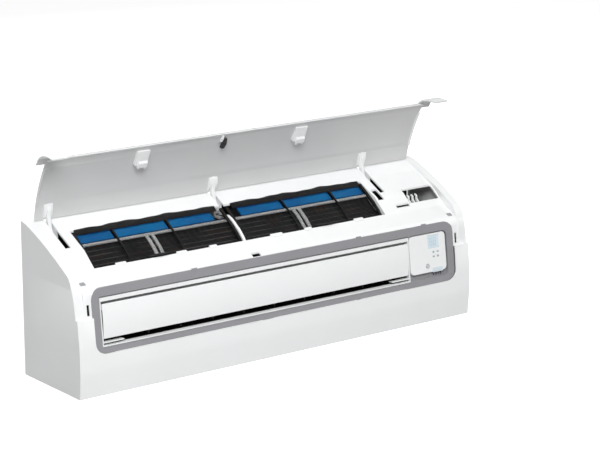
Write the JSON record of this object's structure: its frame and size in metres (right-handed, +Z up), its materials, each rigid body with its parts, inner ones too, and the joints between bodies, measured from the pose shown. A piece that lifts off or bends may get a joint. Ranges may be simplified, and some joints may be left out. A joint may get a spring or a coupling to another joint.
{
  "type": "wall air conditioner indoor unit",
  "caption": "Wall-mounted split air conditioner indoor unit, front panel swung up over two slide-out filters, swinging outlet flap and coupled air vanes.",
  "frame": {"origin": "middle of the wall plate's four screw holes, on the wall plane", "axes": "+X along the unit to its right end, -Y out from the wall into the room, +Z up"},
  "size_m": [1, 0.216, 0.4671],
  "materials": {
    "white_plastic": "satin moulded, fine edge wear",
    "trim_grey": "satin moulded",
    "black_plastic": "moulded, fine grain",
    "filter_mesh": "woven net",
    "cartridge_blue": "pleated",
    "fins": "thin fins",
    "end_plates": "zinc plated",
    "copper": "drawn copper tube",
    "brass_nuts": "turned",
    "steel": "bright zinc",
    "rubber": "matt",
    "drain_plastic": "matt",
    "display_blue": "tinted",
    "lens": "clear tint",
    "board_green": "solder mask",
    "button_grey": "satin",
    "control_box": "matt",
    "cover_dark": "matt",
    "terminal": "matt"
  },
  "bodies": {
    "unit": {"wall_plate": "steel", "rear_chassis": "black_plastic", "drain_pan": "white_plastic", "drain_spout": "drain_plastic", "evaporator_front": "fins", "evaporator_rear": "fins", "evaporator_end_plates": "end_plates", "evaporator_tubes": "copper", "refrigerant_pipes": "copper", "pipe_nuts": "brass_nuts", "fan_motor": "steel", "motor_clamp": "white_plastic", "bearing_holder": "rubber", "front_casing": "white_plastic", "casing_screws": "steel", "hinge_pins": "steel", "trim_ring": "trim_grey", "outlet_frame": "white_plastic", "flap_motor": "drain_plastic", "vane_motors": "drain_plastic", "display_cover": "white_plastic", "display_window": "display_blue", "indicator_lenses": "lens", "display_board": "board_green", "control_box": "control_box", "control_cover": "cover_dark", "control_board": "board_green", "terminal_block": "terminal", "wire_clips": "white_plastic", "room_sensor": "drain_plastic"},
    "panel": {"front_panel": "white_plastic", "panel_arms": "white_plastic", "panel_clips": "white_plastic", "panel_latch": "black_plastic"},
    "filter_left": {"filter_frame_left": "black_plastic", "filter_mesh_left": "filter_mesh", "cartridges_left": "cartridge_blue"},
    "filter_right": {"filter_frame_right": "black_plastic", "filter_mesh_right": "filter_mesh", "cartridges_right": "cartridge_blue"},
    "blower": {"blower_wheel": "black_plastic", "fan_shaft": "steel"},
    "flap": {"outlet_flap": "white_plastic"},
    "button": {"test_button": "button_grey"},
    "left_link": {"link_left": "black_plastic"},
    "right_link": {"link_right": "black_plastic"},
    "vane_left_1_body": {"vane_left_1": "black_plastic"},
    "vane_left_2_body": {"vane_left_2": "black_plastic"},
    "vane_left_3_body": {"vane_left_3": "black_plastic"},
    "vane_left_4_body": {"vane_left_4": "black_plastic"},
    "vane_left_5_body": {"vane_left_5": "black_plastic"},
    "vane_right_1_body": {"vane_right_1": "black_plastic"},
    "vane_right_2_body": {"vane_right_2": "black_plastic"},
    "vane_right_3_body": {"vane_right_3": "black_plastic"},
    "vane_right_4_body": {"vane_right_4": "black_plastic"},
    "vane_right_5_body": {"vane_right_5": "black_plastic"}
  },
  "joints": [
    {"name": "panel_hinge", "type": "hinge", "parent": "unit", "child": "panel", "pos_m": [0, -0.037, 0.119], "axis": [-1, 0, 0], "range_deg": [-97.7, 0]},
    {"name": "filter_left_slide", "type": "slide", "parent": "unit", "child": "filter_left", "axis": [0, -0.581, 0.8139], "range_m": [0, 0.12]},
    {"name": "filter_right_slide", "type": "slide", "parent": "unit", "child": "filter_right", "axis": [0, -0.581, 0.8139], "range_m": [0, 0.12]},
    {"name": "blower_spin", "type": "hinge", "parent": "unit", "child": "blower", "pos_m": [0, -0.088, -0.01], "axis": [1, 0, 0], "continuous": true},
    {"name": "flap_hinge", "type": "hinge", "parent": "unit", "child": "flap", "pos_m": [0, -0.195, 0.014], "axis": [-1, 0, 0], "range_deg": [0, 70]},
    {"name": "button_press", "type": "slide", "parent": "unit", "child": "button", "axis": [0, 0.9925, -0.1219], "range_m": [0, 0.0015], "stiffness_N_per_m": 400, "springref_m": -0.001},
    {"name": "vane_left_1_swing", "type": "hinge", "parent": "unit", "child": "vane_left_1_body", "pos_m": [-0.40315, -0.168, -0.025], "axis": [0, 0, 1], "range_deg": [-30, 30]},
    {"name": "vane_left_2_swing", "type": "hinge", "parent": "unit", "child": "vane_left_2_body", "pos_m": [-0.32545, -0.168, -0.025], "axis": [0, 0, 1], "range_deg": [-30, 30]},
    {"name": "vane_left_3_swing", "type": "hinge", "parent": "unit", "child": "vane_left_3_body", "pos_m": [-0.24775, -0.168, -0.025], "axis": [0, 0, 1], "range_deg": [-30, 30]},
    {"name": "vane_left_4_swing", "type": "hinge", "parent": "unit", "child": "vane_left_4_body", "pos_m": [-0.17005, -0.168, -0.025], "axis": [0, 0, 1], "range_deg": [-30, 30]},
    {"name": "vane_left_5_swing", "type": "hinge", "parent": "unit", "child": "vane_left_5_body", "pos_m": [-0.09235, -0.168, -0.025], "axis": [0, 0, 1], "range_deg": [-30, 30]},
    {"name": "left_link_slide", "type": "slide", "parent": "unit", "child": "left_link", "axis": [1, 0, 0], "range_m": [-0.0092, 0.0092]},
    {"name": "vane_right_1_swing", "type": "hinge", "parent": "unit", "child": "vane_right_1_body", "pos_m": [-0.01465, -0.168, -0.025], "axis": [0, 0, 1], "range_deg": [-30, 30]},
    {"name": "vane_right_2_swing", "type": "hinge", "parent": "unit", "child": "vane_right_2_body", "pos_m": [0.06305, -0.168, -0.025], "axis": [0, 0, 1], "range_deg": [-30, 30]},
    {"name": "vane_right_3_swing", "type": "hinge", "parent": "unit", "child": "vane_right_3_body", "pos_m": [0.14075, -0.168, -0.025], "axis": [0, 0, 1], "range_deg": [-30, 30]},
    {"name": "vane_right_4_swing", "type": "hinge", "parent": "unit", "child": "vane_right_4_body", "pos_m": [0.21845, -0.168, -0.025], "axis": [0, 0, 1], "range_deg": [-30, 30]},
    {"name": "vane_right_5_swing", "type": "hinge", "parent": "unit", "child": "vane_right_5_body", "pos_m": [0.29615, -0.168, -0.025], "axis": [0, 0, 1], "range_deg": [-30, 30]},
    {"name": "right_link_slide", "type": "slide", "parent": "unit", "child": "right_link", "axis": [1, 0, 0], "range_m": [-0.0092, 0.0092]}
  ],
  "couplings": [
    {"joint": "vane_left_1_swing", "follows": "left_link_slide", "rad_per_m": 56.8},
    {"joint": "vane_left_2_swing", "follows": "left_link_slide", "rad_per_m": 56.8},
    {"joint": "vane_left_3_swing", "follows": "left_link_slide", "rad_per_m": 56.8},
    {"joint": "vane_left_4_swing", "follows": "left_link_slide", "rad_per_m": 56.8},
    {"joint": "vane_left_5_swing", "follows": "left_link_slide", "rad_per_m": 56.8},
    {"joint": "vane_right_1_swing", "follows": "right_link_slide", "rad_per_m": 56.8},
    {"joint": "vane_right_2_swing", "follows": "right_link_slide", "rad_per_m": 56.8},
    {"joint": "vane_right_3_swing", "follows": "right_link_slide", "rad_per_m": 56.8},
    {"joint": "vane_right_4_swing", "follows": "right_link_slide", "rad_per_m": 56.8},
    {"joint": "vane_right_5_swing", "follows": "right_link_slide", "rad_per_m": 56.8}
  ]
}
